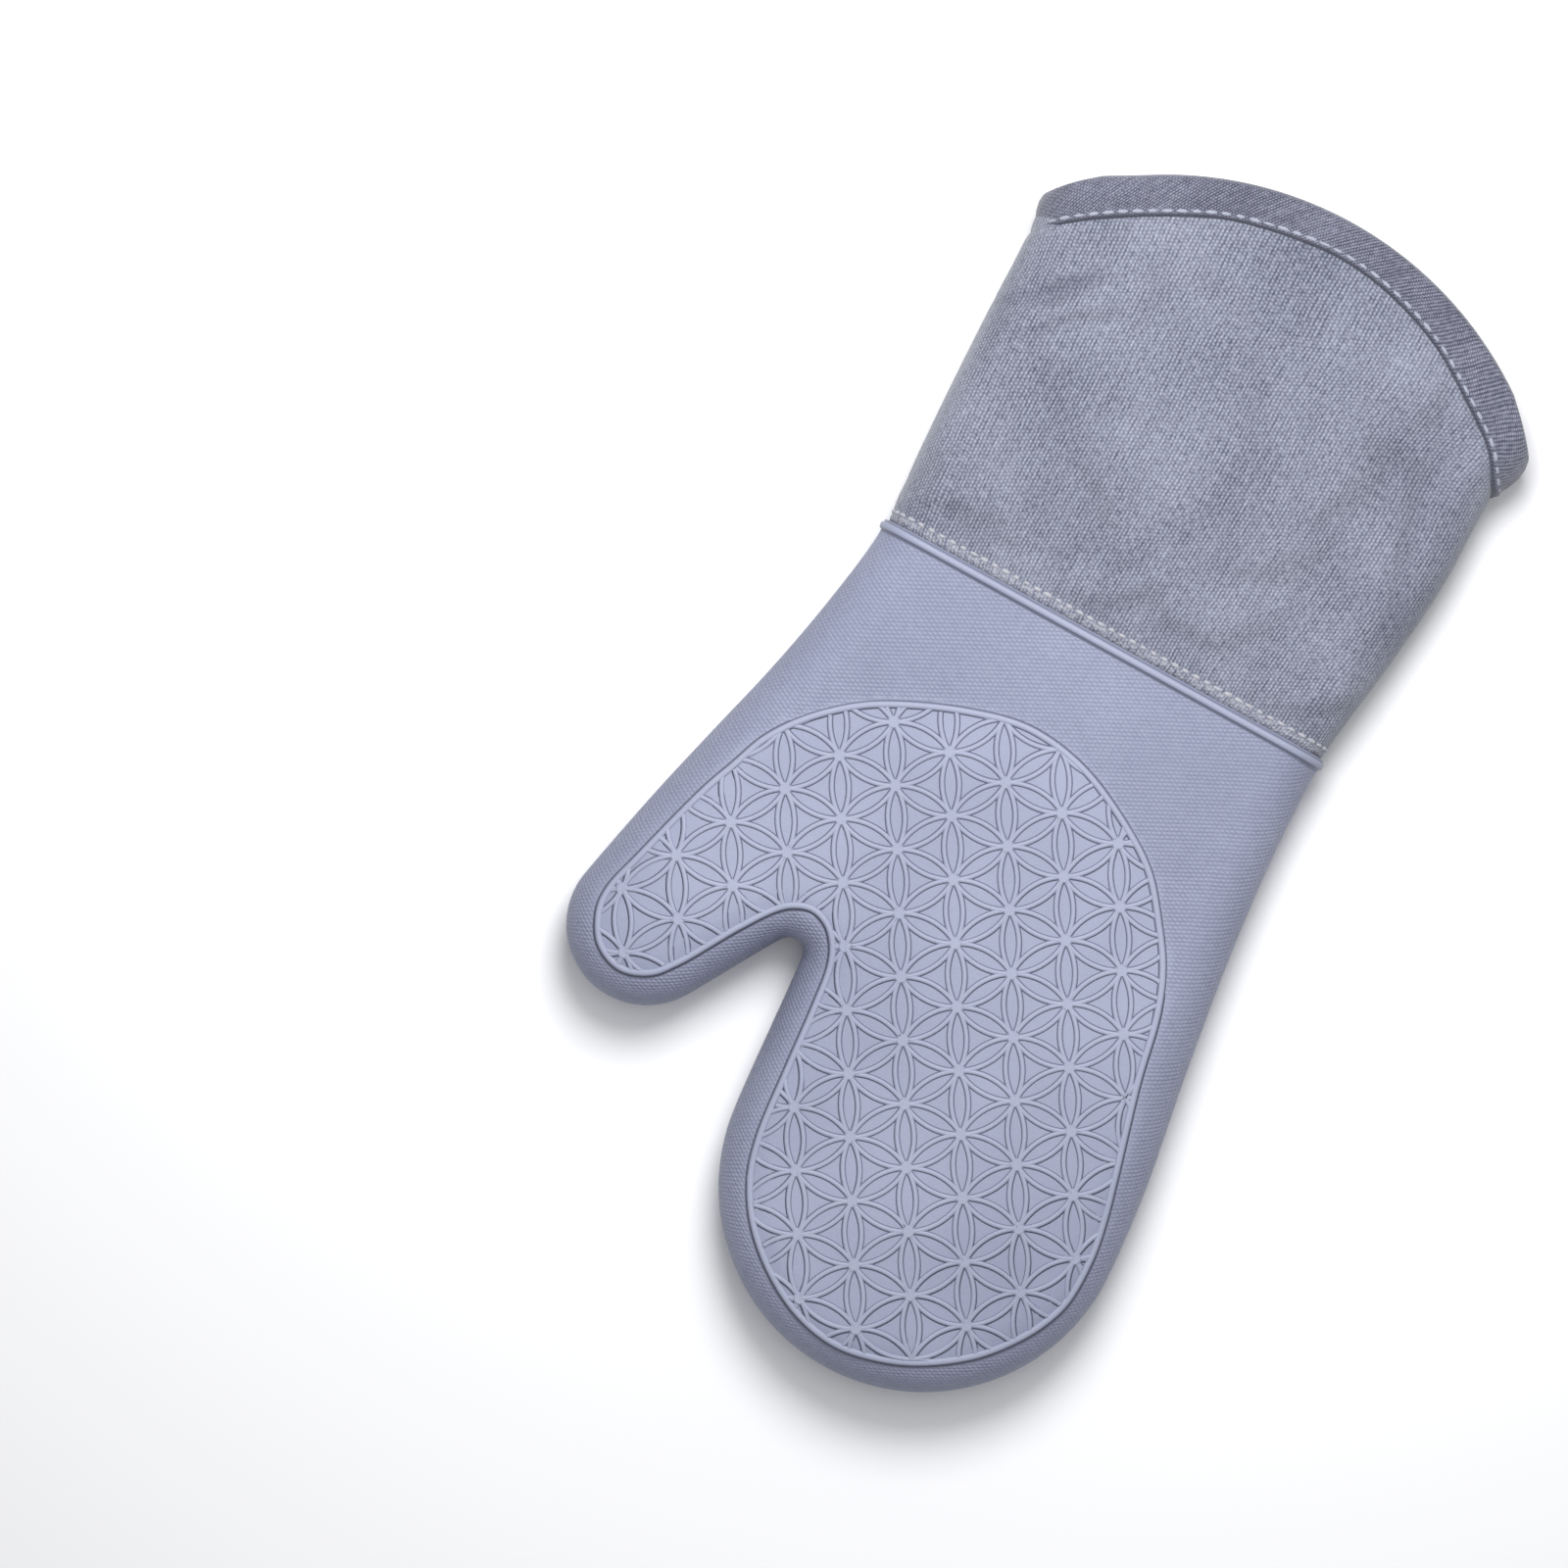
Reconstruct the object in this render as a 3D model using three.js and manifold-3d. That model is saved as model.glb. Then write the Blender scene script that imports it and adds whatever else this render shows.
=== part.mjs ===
// Oven mitt, lying flat with its gripping palm up: a one-piece silicone glove sewn to a woven cuff, with a
// quilted lining inside and a binding tape round the mouth. Millimetres, +Z up, +Y towards the mouth of
// the cuff, thumb on the -X side. The origin is the middle of the bounding box, at its bottom.
//
// Every layer is a shell between two depths below the mitt's outer surface. The glove, the batting and the
// lining are each cut where the thumb and the finger pocket fold, so that those parts can turn.

import * as THREE from 'three';
import { mergeVertices } from 'three/addons/utils/BufferGeometryUtils.js';
import Module from 'manifold-3d';

const wasm = await Module();
wasm.setup();

// Overall form
const THICKNESS = 32;
const EDGE_ROUND = 12;
const EDGE_STEPS = 4;
const GAP = 0.3;

// Fingertip, thumb tip and the crotch between them are round
const FINGERTIP = { x: 36.26, y: -125.5, r: 61 };
const THUMB_TIP = { x: -73.26, y: -96, r: 24 };
const CROTCH = { x: -32.5, y: -83, r: 4.3 };
const OUTLINE_TOP = 212;

// The side edges, from the fingertip up to the cuff's mouth and from the mouth down to the thumb
const RIGHT_SIDE = [[94.9, -96], [89.1, -60], [84.1, -24], [81.2, 6], [80.1, 36], [82.2, 50],
  [86, 78], [88.8, 108], [88.8, 132], [92.2, 150]];
const LEFT_SIDE = [[-74.7, 150], [-72.3, 134], [-72.6, 118], [-71.2, 78], [-69.6, 50], [-68.1, 36],
  [-72, 12], [-77.2, -12], [-83.6, -36], [-89.8, -60]];

// The mouth's edge is an arc; the binding is a band along it
const MOUTH = { x: 10.5, y: 72.5, r: 114 };
const BINDING_WIDTH = 11.3;
const BINDING_FOLD = 1.2;

// Where the silicone ends and the cuff starts
const SILICONE_TOP = 43.2;
const STEP_START = 40.8;
const FLANGE_TOP = 52;
const CUFF_START = 43.6;
const CUFF_SEAM = 46.5;
const THREAD = 0.5;

// Depths of the layers below the outer surface: [outside, inside]
const SILICONE = [0, 2];
const FLANGE = [3.2, 3.6];
const CUFF_PANEL = [1.9, 2.9];
const HAND_BATTING = [2.3, 6.4];
const CUFF_BATTING = [3.9, 6.4];
const LINING = [6.7, 7.4];
const BINDING = [0.9, 8.5];
const BINDING_CHANNEL = [1.6, 7.7];
const BINDING_THREAD = [0.1, 0.6];
const CUFF_THREAD = [1.1, 1.6];

// The thumb folds about a slanted crease that starts in the crotch, the fingers about a straight one
const THUMB_CREASE = { x: -34.5, y: -81, angle: 131.3 };
const FINGER_CREASE_Y = -82;

const FAR = 400;

const MATERIALS = {
  silicone: { color: 0x9da3bc, roughness: 0.62, metalness: 0 },
  cuff: { color: 0x8b90a3, roughness: 0.9, metalness: 0 },
  binding: { color: 0x7f8294, roughness: 0.9, metalness: 0 },
  thread: { color: 0xb9bac4, roughness: 0.8, metalness: 0 },
  batting: { color: 0xe8e6e0, roughness: 1, metalness: 0 },
  lining: { color: 0xa9acb8, roughness: 0.95, metalness: 0 },
};

// Points along a circle, both ends included; angles are in degrees
function arc(circle, from, to, steps) {
  const points = [];
  for (let i = 0; i <= steps; i++) {
    const angle = THREE.MathUtils.degToRad(from + ((to - from) * i) / steps);
    points.push(new THREE.Vector2(
      circle.x + circle.r * Math.cos(angle),
      circle.y + circle.r * Math.sin(angle),
    ));
  }
  return points;
}

function vectors(pairs) {
  return pairs.map(([x, y]) => new THREE.Vector2(x, y));
}

// The mitt's silhouette, clockwise from the mouth's right corner. It runs on past the mouth.
function silhouette() {
  const [lastRightX] = RIGHT_SIDE.at(-1);
  const [firstLeftX] = LEFT_SIDE[0];
  return [
    new THREE.Vector2(lastRightX, OUTLINE_TOP),
    ...vectors([...RIGHT_SIDE].reverse()),
    ...arc(FINGERTIP, 0, -90, 6),
    ...arc(FINGERTIP, -90, -174.3, 6).slice(1),
    ...arc(CROTCH, 4.5, 147.7, 5),
    ...arc(THUMB_TIP, -32, -180, 8),
    ...arc(THUMB_TIP, -180, -194, 1).slice(1),
    ...vectors([...LEFT_SIDE].reverse()),
    new THREE.Vector2(firstLeftX, OUTLINE_TOP),
  ];
}

const outline = new THREE.Shape(silhouette());

// A closed geometry as a solid that can be joined and cut
function solid(geometry) {
  geometry.deleteAttribute('normal');
  geometry.deleteAttribute('uv');
  const merged = mergeVertices(geometry);
  return new wasm.Manifold(new wasm.Mesh({
    numProp: 3,
    vertProperties: new Float32Array(merged.attributes.position.array),
    triVerts: new Uint32Array(merged.index.array),
  }));
}

// Everything of the mitt that lies at least this deep below its outer surface
function core(depth) {
  const rounding = EDGE_ROUND - depth;
  const geometry = new THREE.ExtrudeGeometry(outline, {
    depth: THICKNESS - 2 * EDGE_ROUND,
    bevelThickness: rounding,
    bevelSize: rounding,
    bevelOffset: -EDGE_ROUND,
    bevelSegments: EDGE_STEPS,
  });
  geometry.translate(0, 0, EDGE_ROUND);
  return solid(geometry);
}

function layer([outside, inside]) {
  return core(outside).subtract(core(inside));
}

// An upright prism over a plan outline
function prism(points) {
  const geometry = new THREE.ExtrudeGeometry(new THREE.Shape(points), { depth: FAR, bevelEnabled: false });
  geometry.translate(0, 0, -FAR / 2);
  return solid(geometry);
}

function block(low, high) {
  const size = high.map((value, i) => value - low[i]);
  const geometry = new THREE.BoxGeometry(...size);
  geometry.translate(...low.map((value, i) => value + size[i] / 2));
  return solid(geometry);
}

function between(lowY, highY) {
  return block([-FAR, lowY, -FAR], [FAR, highY, FAR]);
}

// The part of the plan that lies inside the mouth's edge moved in by a distance
function insideMouth(inset) {
  const edge = { ...MOUTH, r: MOUTH.r - inset };
  return prism([
    ...arc(edge, 12, 168, 24),
    new THREE.Vector2(-FAR, MOUTH.y),
    new THREE.Vector2(-FAR, -FAR),
    new THREE.Vector2(FAR, -FAR),
    new THREE.Vector2(FAR, MOUTH.y),
  ]);
}

// Plan regions of the folding parts, starting this far beyond their creases
function thumbRegion(clearance) {
  const angle = THREE.MathUtils.degToRad(THUMB_CREASE.angle);
  const along = new THREE.Vector2(Math.cos(angle), Math.sin(angle));
  const outward = new THREE.Vector2(-along.y, along.x);
  const start = new THREE.Vector2(THUMB_CREASE.x, THUMB_CREASE.y).addScaledVector(outward, clearance);
  return prism([
    start,
    start.clone().addScaledVector(along, FAR),
    start.clone().addScaledVector(outward, FAR),
    new THREE.Vector2(THUMB_CREASE.x, -FAR),
  ]);
}

function fingerRegion(clearance) {
  return block([THUMB_CREASE.x, -FAR, -FAR], [FAR, FINGER_CREASE_Y - clearance, FAR]);
}

// The palm is what neither folding part takes
function palmRegion(clearance) {
  return between(-FAR, FAR).subtract(thumbRegion(-clearance)).subtract(fingerRegion(-clearance));
}

const regions = {
  palm: palmRegion(GAP / 2),
  thumb: thumbRegion(GAP / 2),
  fingers: fingerRegion(GAP / 2),
};
const middle = THICKNESS / 2;
const sides = {
  palm: block([-FAR, -FAR, middle + GAP / 2], [FAR, FAR, FAR]),
  back: block([-FAR, -FAR, -FAR], [FAR, FAR, middle - GAP / 2]),
};

const mitt = new THREE.Group();

function addPart(name, materialName, shape) {
  const { vertProperties, triVerts } = shape.getMesh();
  const geometry = new THREE.BufferGeometry();
  geometry.setAttribute('position', new THREE.BufferAttribute(vertProperties, 3));
  geometry.setIndex(new THREE.BufferAttribute(triVerts, 1));
  geometry.computeVertexNormals();
  const mesh = new THREE.Mesh(geometry, new THREE.MeshStandardMaterial(MATERIALS[materialName]));
  mesh.name = name;
  mitt.add(mesh);
}

// The moulded glove: a plain wall, and above its top bead a thin flange that the cuff is sewn to
function addSilicone() {
  const wall = layer(SILICONE);
  const step = layer([1, FLANGE[1]]).intersect(between(STEP_START, SILICONE_TOP));
  const flange = layer(FLANGE).intersect(between(SILICONE_TOP - 1, FLANGE_TOP));
  const glove = wall.intersect(between(-FAR, SILICONE_TOP)).add(step).add(flange);
  addPart('silicone_palm', 'silicone', glove.intersect(regions.palm));
  addPart('silicone_thumb', 'silicone', wall.intersect(regions.thumb));
  addPart('silicone_fingers', 'silicone', wall.intersect(regions.fingers));
}

// The cuff's outer fabric: two panels sewn together along both side seams
function addCuffPanels() {
  const fabric = layer(CUFF_PANEL).intersect(insideMouth(BINDING_FOLD + GAP));
  const tube = fabric.intersect(between(CUFF_START, FAR));
  addPart('cuff_palm_panel', 'cuff', tube.intersect(sides.palm));
  addPart('cuff_back_panel', 'cuff', tube.intersect(sides.back));
}

// Batting and lining: a palm side and a back side, each cut at the two creases
function addQuilting() {
  const trimmed = insideMouth(BINDING_FOLD + GAP);
  const thinBatting = layer(CUFF_BATTING).intersect(trimmed);
  const thickBatting = layer(HAND_BATTING).intersect(between(-FAR, STEP_START - GAP));
  const batting = thinBatting.add(thickBatting);
  const lining = layer(LINING).intersect(trimmed);
  for (const side of ['palm', 'back']) {
    for (const [region, part] of [['palm', 'hand'], ['thumb', 'thumb'], ['fingers', 'finger']]) {
      const cut = sides[side].intersect(regions[region]);
      addPart(`${part}_batting_${side}`, 'batting', batting.intersect(cut));
      addPart(`${part}_lining_${side}`, 'lining', lining.intersect(cut));
    }
  }
}

// The binding: a folded tape that wraps the raw edges of every cuff layer, all round the mouth
function addBinding() {
  const band = insideMouth(0).subtract(insideMouth(BINDING_WIDTH));
  const channel = layer(BINDING_CHANNEL).intersect(insideMouth(BINDING_FOLD));
  addPart('mouth_binding', 'binding', layer(BINDING).intersect(band).subtract(channel));
}

// Sewing threads, as closed rings on the fabric that they hold
function addThreads() {
  const inset = BINDING_WIDTH - 2;
  const bindingRow = insideMouth(inset - THREAD).subtract(insideMouth(inset));
  addPart('binding_thread', 'thread', layer(BINDING_THREAD).intersect(bindingRow));
  const cuffRow = between(CUFF_SEAM - THREAD / 2, CUFF_SEAM + THREAD / 2);
  addPart('cuff_thread', 'thread', layer(CUFF_THREAD).intersect(cuffRow));
}

addSilicone();
addCuffPanels();
addQuilting();
addBinding();
addThreads();

export default mitt;
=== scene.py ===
"""An oven mitt lying flat with its palm up: a moulded silicone glove with raised ribs on both faces, a
woven cuff, a quilted lining, batting, and a binding tape round the mouth. Lengths in the helpers are in
millimetres; +Z is up, +Y is towards the mouth of the cuff, and the thumb is on the -X side."""

import math

import bmesh
import bpy
import numpy as np
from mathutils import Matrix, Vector, geometry


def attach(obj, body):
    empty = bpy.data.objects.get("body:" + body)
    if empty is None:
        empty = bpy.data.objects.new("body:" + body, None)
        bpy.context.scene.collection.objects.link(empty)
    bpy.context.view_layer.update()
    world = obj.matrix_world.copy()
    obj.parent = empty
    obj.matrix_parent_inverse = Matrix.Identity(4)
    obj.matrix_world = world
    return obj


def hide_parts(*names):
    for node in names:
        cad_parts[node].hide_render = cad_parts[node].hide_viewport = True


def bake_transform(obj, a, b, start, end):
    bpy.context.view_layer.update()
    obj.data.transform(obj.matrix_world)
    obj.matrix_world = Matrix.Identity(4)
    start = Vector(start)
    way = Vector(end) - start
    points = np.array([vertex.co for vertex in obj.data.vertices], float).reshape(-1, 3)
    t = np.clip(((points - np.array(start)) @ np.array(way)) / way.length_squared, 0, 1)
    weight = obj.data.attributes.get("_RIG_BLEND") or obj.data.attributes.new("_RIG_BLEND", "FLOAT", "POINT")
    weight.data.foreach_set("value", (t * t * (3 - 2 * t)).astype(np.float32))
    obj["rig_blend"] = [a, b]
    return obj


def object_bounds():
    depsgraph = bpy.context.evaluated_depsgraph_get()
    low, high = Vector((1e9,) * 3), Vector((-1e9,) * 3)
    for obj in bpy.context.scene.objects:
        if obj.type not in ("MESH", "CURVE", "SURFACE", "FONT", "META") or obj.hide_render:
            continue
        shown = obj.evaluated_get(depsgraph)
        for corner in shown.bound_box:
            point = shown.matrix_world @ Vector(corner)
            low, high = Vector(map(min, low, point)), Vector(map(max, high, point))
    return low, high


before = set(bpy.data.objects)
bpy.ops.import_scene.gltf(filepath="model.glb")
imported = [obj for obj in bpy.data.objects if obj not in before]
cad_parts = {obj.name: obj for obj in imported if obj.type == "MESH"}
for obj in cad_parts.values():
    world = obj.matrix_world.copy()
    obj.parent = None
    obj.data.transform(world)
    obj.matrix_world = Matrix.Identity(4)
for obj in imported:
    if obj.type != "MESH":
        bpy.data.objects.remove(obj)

MM = 0.001
CAD_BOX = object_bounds()

# Overall form
THICKNESS = (CAD_BOX[1].z - CAD_BOX[0].z) / MM
MIDDLE = THICKNESS / 2
EDGE_ROUND = 15.0
EDGE_SHAPE = 2.25
EDGE_ANGLES = np.radians([0, 9, 18, 28, 39, 51, 64, 77, 90])

# The silhouette: round fingertip, thumb tip and crotch (centre x, centre y, radius), and the side edges
FINGERTIP = (36.26, -125.5, 61.0)
THUMB_TIP = (-73.26, -96.0, 24.0)
CROTCH = (-32.5, -83.0, 4.3)
RIGHT_GLOVE = [(80.3, 43.2), (80.1, 36), (81.2, 6), (84.1, -24), (89.1, -60), (94.9, -96)]
LEFT_GLOVE = [(-89.8, -60), (-83.6, -36), (-77.2, -12), (-72, 12), (-68.1, 36), (-67.9, 43.2)]
RIGHT_CUFF = [(80.9, 38), (81.1, 42.4), (82.0, 45), (82.2, 50), (86, 78), (88.8, 108), (88.8, 132),
              (92.2, 150), (93, 158)]
LEFT_CUFF = [(-68.5, 38), (-68.6, 43), (-69.4, 46), (-69.6, 50), (-71.2, 78), (-72.6, 118), (-72.9, 134),
             (-74.1, 150), (-75, 158)]

# The mouth's edge is an arc (centre x, centre y, radius)
MOUTH = (10.5, 72.5, 114.0)
BINDING_EDGE = [(-80, 135.5), (-69.3, 142.3), (-50, 155.2), (-35, 163.6), (-21, 169.9), (0, 174.5),
                (14, 175.5), (30, 173.4), (50, 166.4), (65.8, 156.6), (80, 146), (87, 138), (94, 131)]

# The row of raised work where the glove meets the cuff runs slightly downhill to the right
GLOVE_TOP = 43.2
TILT = -0.0095
BEAD_Y = 41.3
CUFF_START = 43.3
CUFF_SEAM = 46.4
CUFF_SLACK = 0.03
CUFF_STITCH_PITCH = 3.6
BINDING_STITCH_PITCH = 4.4
BINDING_STITCH_INSET = 1.3

# Depths of the layers below the mitt's outer surface: (outside, inside)
RIB_HEIGHT = 0.6
SILICONE = (0.0, 2.0)
FLANGE = (3.2, 3.6)
CUFF_PANEL = (1.9, 2.9)
GLOVE_BATTING = (2.5, 6.4)
LINING = (6.7, 7.4)

# The grip pattern: circles round the points of a triangular lattice, inside a raised rim
LATTICE_SPACING = 18.85
LATTICE_START = (0.2, -8.3)
LATTICE_ROW = 16.3
RIB_WIDTH = 1.35
HUB_RADIUS = 2.1
RIM_WIDTH = 1.9
RIM_HEIGHT = 0.8
RIM = [(-1.4, 8.9), (17.6, 6.3), (39.1, -3.8), (50, -11.6), (59.4, -23), (67, -34.4), (72, -47),
       (76.5, -67.8), (84, -95.8), (87.5, -109.8), (89.2, -121), (88.9, -135), (86.1, -143.4),
       (81.2, -151.8), (72.8, -161.6), (60.2, -170.7), (49, -175.6), (35, -178.2), (21, -175.6),
       (7, -167.9), (-4.2, -157.4), (-10.9, -146.2), (-14, -135), (-16.1, -114), (-17.9, -93),
       (-19.6, -80.4), (-22.4, -74.1), (-26.6, -69.9), (-32.2, -68.2), (-37.8, -69.9), (-42, -73.4),
       (-49, -83.2), (-60.2, -101.4), (-65.8, -107.7), (-74.2, -110.5), (-82.6, -107), (-87.5, -98.6),
       (-88, -91.6), (-84.7, -79), (-77, -52.4), (-73, -42), (-68.5, -30.6), (-60.9, -19.9),
       (-49.9, -9.8), (-39.4, -3.4), (-19, 5)]

# Half of a rib's section as (share of half its width, share of its height, how much painted shade darkens it
# there)
RIB_SECTION = [(1.55, -0.05, 0.5), (1.04, 0.1, 1.0), (0.86, 0.74, 0.0), (0.45, 1.0, 0.0)]
# How strongly the painted shade shows in the marked recesses.
PAINTED_SHADE_STRENGTH = 0.7

# The finger pocket is its own piece beyond this line; the thumb bends beyond its slanted crease
SEAM_Y = -82.7
POCKET_BEND_END = -112.0
THUMB_CREASE = (-34.5, -81.0)
THUMB_OUTWARD = (-0.7513, -0.66)


# ---------------------------------------------------------------- small tools

def smooth_curve(a, b, c, d, t):
    """Centripetal curve from b to c."""
    knots = [0.0]
    for p, q in ((a, b), (b, c), (c, d)):
        knots.append(knots[-1] + max(np.linalg.norm(q - p), 1e-9) ** 0.5)
    t = knots[1] + t * (knots[2] - knots[1])

    def mix(p, q, i, j):
        return ((knots[j] - t) * p + (t - knots[i]) * q) / (knots[j] - knots[i])

    ab, bc, cd = mix(a, b, 0, 1), mix(b, c, 1, 2), mix(c, d, 2, 3)
    return mix(mix(ab, bc, 0, 2), mix(bc, cd, 1, 3), 1, 2)


def smooth_line(points, step, closed=False):
    """Evenly spaced points on a smooth line through the given ones."""
    line = np.array(points, float)
    if closed:
        line = np.vstack([line[-1], line, line[:2]])
    else:
        line = np.vstack([2 * line[0] - line[1], line, 2 * line[-1] - line[-2]])
    t = np.linspace(0, 1, 24, endpoint=False)[:, None]
    spans = [smooth_curve(*four, t) for four in zip(line, line[1:], line[2:], line[3:])]
    dense = np.vstack(spans + [line[-2]])
    lengths = np.concatenate([[0], np.cumsum(np.linalg.norm(np.diff(dense, axis=0), axis=1))])
    count = max(2, int(round(lengths[-1] / step)))
    at = np.linspace(0, lengths[-1], count + 1)
    even = np.column_stack([np.interp(at, lengths, dense[:, i]) for i in range(dense.shape[1])])
    return even[:-1] if closed else even


def arc(circle, start, end, steps):
    x, y, radius = circle
    angles = np.radians(np.linspace(start, end, steps + 1))
    return [(x + radius * math.cos(a), y + radius * math.sin(a)) for a in angles]


def smoothstep(value, low, high):
    t = np.clip((np.asarray(value, float) - low) / (high - low), 0, 1)
    return t * t * (3 - 2 * t)


def outward_normals(line, closed=False):
    """Normals of a clockwise line, pointing away from what it encloses."""
    if closed:
        along = np.roll(line, -1, axis=0) - np.roll(line, 1, axis=0)
    else:
        along = np.gradient(line, axis=0)
    normal = np.column_stack([-along[:, 1], along[:, 0]])
    return normal / np.linalg.norm(normal, axis=1)[:, None]


def inside(points, polygon):
    """Which points lie inside the polygon."""
    x, y = points[:, 0][:, None], points[:, 1][:, None]
    (x1, y1), (x2, y2) = polygon.T, np.roll(polygon, -1, axis=0).T
    slope = np.where(y2 == y1, 1e-12, y2 - y1)
    crossing = ((y1 > y) != (y2 > y)) & (x < (x2 - x1) * (y - y1) / slope + x1)
    return crossing.sum(axis=1) % 2 == 1


def distance_to(points, line):
    """Distance from each point to the nearest point of a closely spaced line."""
    return np.sqrt(((points[:, None] - line[None]) ** 2).sum(axis=2)).min(axis=1)


def new_mesh(name, points, faces, smooth=True):
    mesh = bpy.data.meshes.new(name)
    mesh.from_pydata((np.asarray(points) * MM).tolist(), [], [list(map(int, face)) for face in faces])
    mesh.update()
    if smooth:
        mesh.shade_smooth()
    return mesh


def new_object(name, mesh, *materials):
    made = bpy.data.objects.new(name, mesh)
    bpy.context.scene.collection.objects.link(made)
    for material in materials:
        mesh.materials.append(material)
    return made


def set_values(mesh, name, values):
    """Stores one number or vector per vertex."""
    values = np.asarray(values, np.float32)
    kind, key = ("FLOAT_VECTOR", "vector") if values.ndim == 2 else ("FLOAT", "value")
    mesh.attributes.new(name, kind, "POINT").data.foreach_set(key, values.ravel())


# ---------------------------------------------------------------- node tools

def node(tree, kind, inputs=None, **settings):
    made = tree.nodes.new(kind)
    for key, value in settings.items():
        setattr(made, key, value)
    for key, value in (inputs or {}).items():
        socket = made.inputs[key]
        if isinstance(value, bpy.types.NodeSocket):
            tree.links.new(value, socket)
        else:
            socket.default_value = value
    return made


def geo(tree, kind, inputs=None, **settings):
    """The first output of a new geometry node; shade does the same for a shader node."""
    return node(tree, "GeometryNode" + kind, inputs, **settings).outputs[0]


def shade(tree, kind, inputs=None, **settings):
    return node(tree, "ShaderNode" + kind, inputs, **settings).outputs[0]


def calc(tree, operation, a, b=0.0, c=0.0):
    return shade(tree, "Math", {0: a, 1: b, 2: c}, operation=operation)


def in_range(tree, value, low, high, start=0.0, end=1.0):
    """Brings a value from low..high to start..end."""
    return shade(tree, "MapRange", {0: value, 1: low, 2: high, 3: start, 4: end})


def attribute(tree, name, output="Fac"):
    return node(tree, "ShaderNodeAttribute", attribute_name=name).outputs[output]


def vector_calc(tree, operation, a, b=(0, 0, 0)):
    return shade(tree, "VectorMath", {0: a, 1: b}, operation=operation)


def srgb(red, green, blue):
    """A colour given as 0-255 values, as the shader needs it."""
    channels = [c / 255 for c in (red, green, blue)]
    return (*[c / 12.92 if c <= 0.04045 else ((c + 0.055) / 1.055) ** 2.4 for c in channels], 1.0)


def mix_colour(tree, factor, a, b, blend="MIX"):
    made = node(tree, "ShaderNodeMix", data_type="RGBA", blend_type=blend)
    for index, value in ((0, factor), (6, a), (7, b)):
        if isinstance(value, bpy.types.NodeSocket):
            tree.links.new(value, made.inputs[index])
        else:
            made.inputs[index].default_value = value
    return made.outputs[2]


def noise(tree, vector, scale, detail=3.0, roughness=0.5):
    inputs = {"Vector": vector, "Scale": scale, "Detail": detail, "Roughness": roughness}
    return node(tree, "ShaderNodeTexNoise", inputs).outputs["Fac"]


def bump(tree, height, distance, strength=1.0, below=None):
    inputs = {"Height": height, "Distance": distance * MM, "Strength": strength}
    if below is not None:
        inputs["Normal"] = below
    return shade(tree, "Bump", inputs)


def new_material(name, **values):
    material = bpy.data.materials.new(name)
    material.use_nodes = True
    tree = material.node_tree
    shader = tree.nodes["Principled BSDF"]
    for key, value in values.items():
        shader.inputs[key.replace("_", " ")].default_value = value
    return material, tree, shader


# ---------------------------------------------------------------- materials

KNURL_WIDTH = 2.7
KNURL_HEIGHT = 1.35
# Painted shade for the knurl's grooves, which are only a bump pattern.
KNURL_GROOVE_SHADE = srgb(106, 110, 134)
# Colours of the painted shade laid into recesses, creases and under edges of the rubber and the cloth.
PAINTED_CREVICE_SHADE = srgb(70, 73, 95)
CLOTH_PAINTED_SHADE = srgb(50, 53, 68)


def with_painted_shade(tree, colour, dark):
    """The colour with painted shade laid into its creases and recesses."""
    return mix_colour(tree, calc(tree, "MULTIPLY", attribute(tree, "painted_crevice_shade"), PAINTED_SHADE_STRENGTH), colour, dark)


def coat(tree, shader, colour, normal):
    tree.links.new(colour, shader.inputs["Base Color"])
    tree.links.new(normal, shader.inputs["Normal"])


def silicone_material(name, dark, light, knurled):
    """Matt moulded rubber with a faint stipple; the knurl shows only outside the rim, with painted shade in
    its grooves.
    """
    material, tree, shader = new_material(name, Roughness=0.56, Specular_IOR_Level=0.42)
    place = node(tree, "ShaderNodeTexCoord").outputs["Object"]
    patches = noise(tree, place, 22, 2)
    patches = calc(tree, "MULTIPLY", patches, 0.75)
    tone = calc(tree, "MULTIPLY_ADD", noise(tree, place, 900, 3), 0.25, patches)
    tone = in_range(tree, tone, 0.3, 0.7)
    colour = mix_colour(tree, tone, dark, light)
    # Painted shade in the rubber's marked recesses.
    colour = with_painted_shade(tree, colour, PAINTED_CREVICE_SHADE)
    stipple = bump(tree, noise(tree, place, 1500, 2), 0.05)
    if knurled:
        surface = attribute(tree, "surface", "Vector")
        mask = attribute(tree, "knurl")
        split = node(tree, "ShaderNodeSeparateXYZ", {0: surface})
        across = calc(tree, "MULTIPLY", split.outputs[0], math.pi / (KNURL_WIDTH * MM))
        along = calc(tree, "MULTIPLY", split.outputs[1], math.pi / (KNURL_HEIGHT * MM))
        one = calc(tree, "ABSOLUTE", calc(tree, "SINE", calc(tree, "ADD", across, along)))
        two = calc(tree, "ABSOLUTE", calc(tree, "SINE", calc(tree, "SUBTRACT", across, along)))
        diamond = calc(tree, "MULTIPLY", one, two)
        # The painted groove shade varies in strength at random.
        groove_shade_amount = in_range(tree, noise(tree, place, 420, 3, 0.6), 0.3, 0.7, 0.22, 0.62)
        groove = calc(tree, "MULTIPLY", calc(tree, "SUBTRACT", 1.0, diamond), mask)
        colour = mix_colour(tree, calc(tree, "MULTIPLY", groove, groove_shade_amount), colour, KNURL_GROOVE_SHADE)
        stipple = bump(tree, calc(tree, "MULTIPLY", diamond, mask), 0.26, 0.9, stipple)
    coat(tree, shader, colour, stipple)
    return material


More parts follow.
